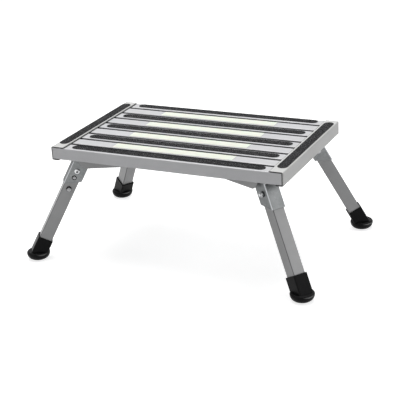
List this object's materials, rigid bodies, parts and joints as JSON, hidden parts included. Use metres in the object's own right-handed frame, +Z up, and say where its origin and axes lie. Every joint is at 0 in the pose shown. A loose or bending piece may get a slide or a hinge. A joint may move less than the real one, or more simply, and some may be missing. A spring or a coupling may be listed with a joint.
{
  "type": "caravan entry step",
  "caption": "Free-standing folding entry step: a slatted platform with grip tapes and pale strips on splayed legs with round rubber feet.",
  "frame": {"origin": "on the floor, under the middle of the platform", "axes": "+X along the platform to the right, +Y to the back, away from the person who steps on, +Z up"},
  "size_m": [0.6062, 0.3948, 0.2328],
  "materials": {
    "painted_frame": "satin silver-grey coat on bent sheet and box tube",
    "leg_metal": "satin silver-grey coat on square tube",
    "galvanised_steel": "dull zinc-coated sheet",
    "bright_steel": "bright zinc-plated fasteners",
    "spring_steel": "plain spring strip",
    "grit_tape": "coarse mineral grit on black film",
    "glow_strip": "smooth pale luminous film",
    "foot_rubber": "moulded black rubber, satin"
  },
  "bodies": {
    "platform": {"front_rail": "painted_frame", "rear_rail": "painted_frame", "left_end_rail": "painted_frame", "right_end_rail": "painted_frame", "grip_slat_1": "painted_frame", "grip_slat_2": "painted_frame", "grip_slat_3": "painted_frame", "glow_slat_1": "painted_frame", "glow_slat_2": "painted_frame", "glow_slat_3": "painted_frame", "glow_slat_4": "painted_frame", "front_rail_tape": "grit_tape", "rear_rail_tape": "grit_tape", "left_rail_tape": "grit_tape", "right_rail_tape": "grit_tape", "slat_tape_1": "grit_tape", "slat_tape_2": "grit_tape", "slat_tape_3": "grit_tape", "glow_strip_1": "glow_strip", "glow_strip_2": "glow_strip", "glow_strip_3": "glow_strip", "glow_strip_4": "glow_strip", "end_rail_rivets": "bright_steel", "leg_mount_fl": "painted_frame", "leg_bracket_fl": "galvanised_steel", "mount_rivets_fl": "bright_steel", "pivot_bolt_fl": "bright_steel", "pivot_nut_fl": "bright_steel", "leg_mount_fr": "painted_frame", "leg_bracket_fr": "galvanised_steel", "mount_rivets_fr": "bright_steel", "pivot_bolt_fr": "bright_steel", "pivot_nut_fr": "bright_steel", "leg_mount_bl": "painted_frame", "leg_bracket_bl": "galvanised_steel", "mount_rivets_bl": "bright_steel", "pivot_bolt_bl": "bright_steel", "pivot_nut_bl": "bright_steel", "leg_mount_br": "painted_frame", "leg_bracket_br": "galvanised_steel", "mount_rivets_br": "bright_steel", "pivot_bolt_br": "bright_steel", "pivot_nut_br": "bright_steel"},
    "leg_fl": {"leg_tube_fl": "leg_metal", "foot_fl": "foot_rubber"},
    "lock_fl": {"lock_clip_fl": "spring_steel"},
    "leg_fr": {"leg_tube_fr": "leg_metal", "foot_fr": "foot_rubber"},
    "lock_fr": {"lock_clip_fr": "spring_steel"},
    "leg_bl": {"leg_tube_bl": "leg_metal", "foot_bl": "foot_rubber"},
    "lock_bl": {"lock_clip_bl": "spring_steel"},
    "leg_br": {"leg_tube_br": "leg_metal", "foot_br": "foot_rubber"},
    "lock_br": {"lock_clip_br": "spring_steel"}
  },
  "joints": [
    {"name": "fold_fl", "type": "hinge", "parent": "platform", "child": "leg_fl", "pos_m": [-0.20205, -0.1258, 0.181], "axis": [0.5284, -0.849, 0], "range_deg": [0, 118.5], "deforming": ["lock_clip_fl"]},
    {"name": "fold_fr", "type": "hinge", "parent": "platform", "child": "leg_fr", "pos_m": [0.20205, -0.1258, 0.181], "axis": [0.5284, 0.849, 0], "range_deg": [0, 118.5], "deforming": ["lock_clip_fr"]},
    {"name": "fold_bl", "type": "hinge", "parent": "platform", "child": "leg_bl", "pos_m": [-0.20205, 0.1258, 0.181], "axis": [-0.5284, -0.849, 0], "range_deg": [0, 118.5], "deforming": ["lock_clip_bl"]},
    {"name": "fold_br", "type": "hinge", "parent": "platform", "child": "leg_br", "pos_m": [0.20205, 0.1258, 0.181], "axis": [-0.5284, 0.849, 0], "range_deg": [0, 118.5], "deforming": ["lock_clip_br"]},
    {"name": "press_fl", "type": "slide", "parent": "leg_fl", "child": "lock_fl", "axis": [-0.5284, 0.849, 0], "range_m": [0, 0.003], "stiffness_N_per_m": 2000, "deforming": ["lock_clip_fl"]},
    {"name": "press_fr", "type": "slide", "parent": "leg_fr", "child": "lock_fr", "axis": [-0.5284, -0.849, 0], "range_m": [0, 0.003], "stiffness_N_per_m": 2000, "deforming": ["lock_clip_fr"]},
    {"name": "press_bl", "type": "slide", "parent": "leg_bl", "child": "lock_bl", "axis": [0.5284, 0.849, 0], "range_m": [0, 0.003], "stiffness_N_per_m": 2000, "deforming": ["lock_clip_bl"]},
    {"name": "press_br", "type": "slide", "parent": "leg_br", "child": "lock_br", "axis": [0.5284, -0.849, 0], "range_m": [0, 0.003], "stiffness_N_per_m": 2000, "deforming": ["lock_clip_br"]}
  ]
}
